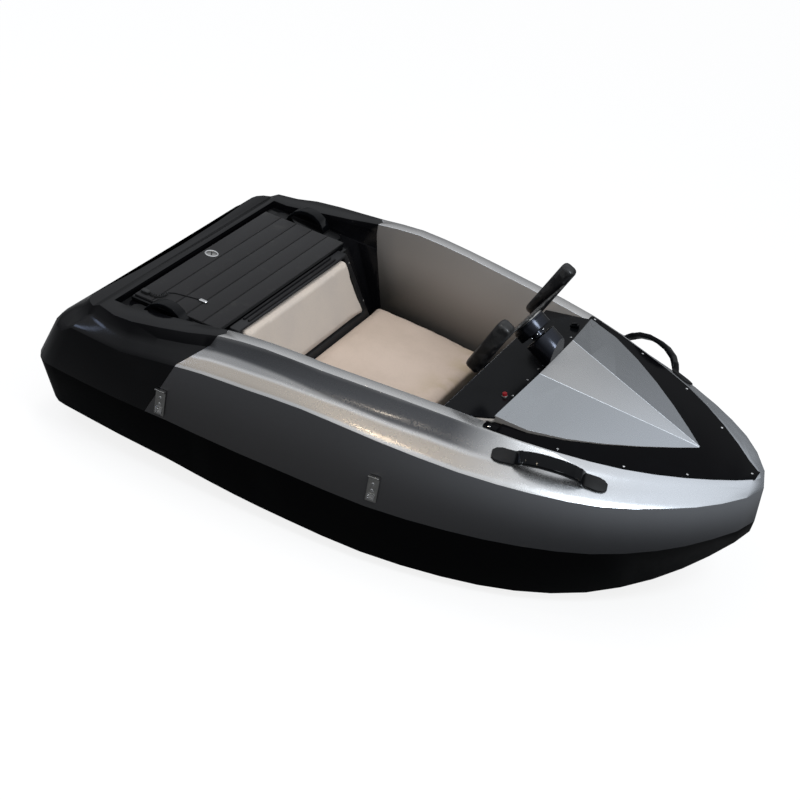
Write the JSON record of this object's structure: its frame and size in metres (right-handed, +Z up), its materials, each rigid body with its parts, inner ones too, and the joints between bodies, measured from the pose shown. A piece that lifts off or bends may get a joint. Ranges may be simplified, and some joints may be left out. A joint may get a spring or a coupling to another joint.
{
  "type": "electric boat",
  "caption": "Low one-seat electric jet boat with silver decks, black hull, faceted hood, open cockpit, padded seat, steering wheel and hatched stern deck.",
  "frame": {"origin": "on the floor, under the middle of the hull length and on the centre line; the flat keel pad rests on it", "axes": "+X towards the bow, +Y to port, +Z up"},
  "size_m": [1.94, 1.1274, 0.6827],
  "materials": {
    "hull_black": "semi-gloss black gelcoat",
    "gloss_black": "gloss black gelcoat",
    "silver_paint": "metallic silver lacquer over moulded plastic",
    "panel_black": "polished black sheet",
    "deck_foam": "matt charcoal foam with black grooves",
    "cream_vinyl": "light grey-beige vinyl",
    "tan_vinyl": "sand-coloured vinyl",
    "black_rubber": "black moulded rubber",
    "carbon_sheet": "lacquered carbon-look sheet",
    "black_metal": "black anodised",
    "stainless": "satin stainless steel",
    "cast_aluminium": "as cast",
    "red_plastic": "red plastic",
    "dark_plastic": "black plastic"
  },
  "bodies": {
    "hull": {"lower_hull": "hull_black", "deck_moulding": "silver_paint", "stern_moulding": "gloss_black", "foredeck_panel": "panel_black", "hood": "silver_paint", "dash_console": "silver_paint", "dash_panel": "carbon_sheet", "helm_boss": "black_metal", "seat_frame": "dark_plastic", "backrest_pad": "cream_vinyl", "floor_cushion": "tan_vinyl", "stern_handle_port": "black_rubber", "stern_handle_starboard": "black_rubber", "bow_handle_port": "black_rubber", "bow_handle_starboard": "black_rubber", "bracket_port_aft": "stainless", "bracket_port_fore": "stainless", "bracket_starboard_aft": "stainless", "bracket_starboard_fore": "stainless", "red_switch": "red_plastic", "black_knob": "dark_plastic", "battery_block": "dark_plastic", "motor_block": "cast_aluminium", "pump_housing": "cast_aluminium", "intake_grille": "stainless", "drain_plug": "dark_plastic"},
    "wheel": {"wheel_hub": "black_metal", "wheel_plate": "carbon_sheet", "grip_port": "black_rubber", "grip_starboard": "black_rubber"},
    "nozzle": {"steering_nozzle": "cast_aluminium"},
    "impeller": {"impeller": "cast_aluminium"},
    "hatch": {"hatch_lid": "gloss_black", "hatch_mat": "deck_foam", "hatch_latch": "stainless", "lanyard_clip": "dark_plastic", "lanyard_coil": "dark_plastic", "lanyard_cord": "dark_plastic", "lanyard_hook": "stainless"}
  },
  "joints": [
    {"name": "wheel_turn", "type": "hinge", "parent": "hull", "child": "wheel", "pos_m": [0.2275, 0, 0.591], "axis": [-0.848, 0, 0.5299], "range_deg": [-60, 60]},
    {"name": "nozzle_steer", "type": "hinge", "parent": "hull", "child": "nozzle", "pos_m": [-0.893, 0, 0.088], "axis": [0, 0, 1], "range_deg": [-25, 25]},
    {"name": "impeller_spin", "type": "hinge", "parent": "hull", "child": "impeller", "pos_m": [-0.825, 0, 0.088], "axis": [1, 0, 0], "continuous": true},
    {"name": "hatch_lift", "type": "hinge", "parent": "hull", "child": "hatch", "pos_m": [-0.4885, 0, 0.412], "axis": [0, 1, 0], "range_deg": [0, 85]}
  ],
  "couplings": [
    {"joint": "nozzle_steer", "follows": "wheel_turn", "ratio": -0.41667}
  ]
}
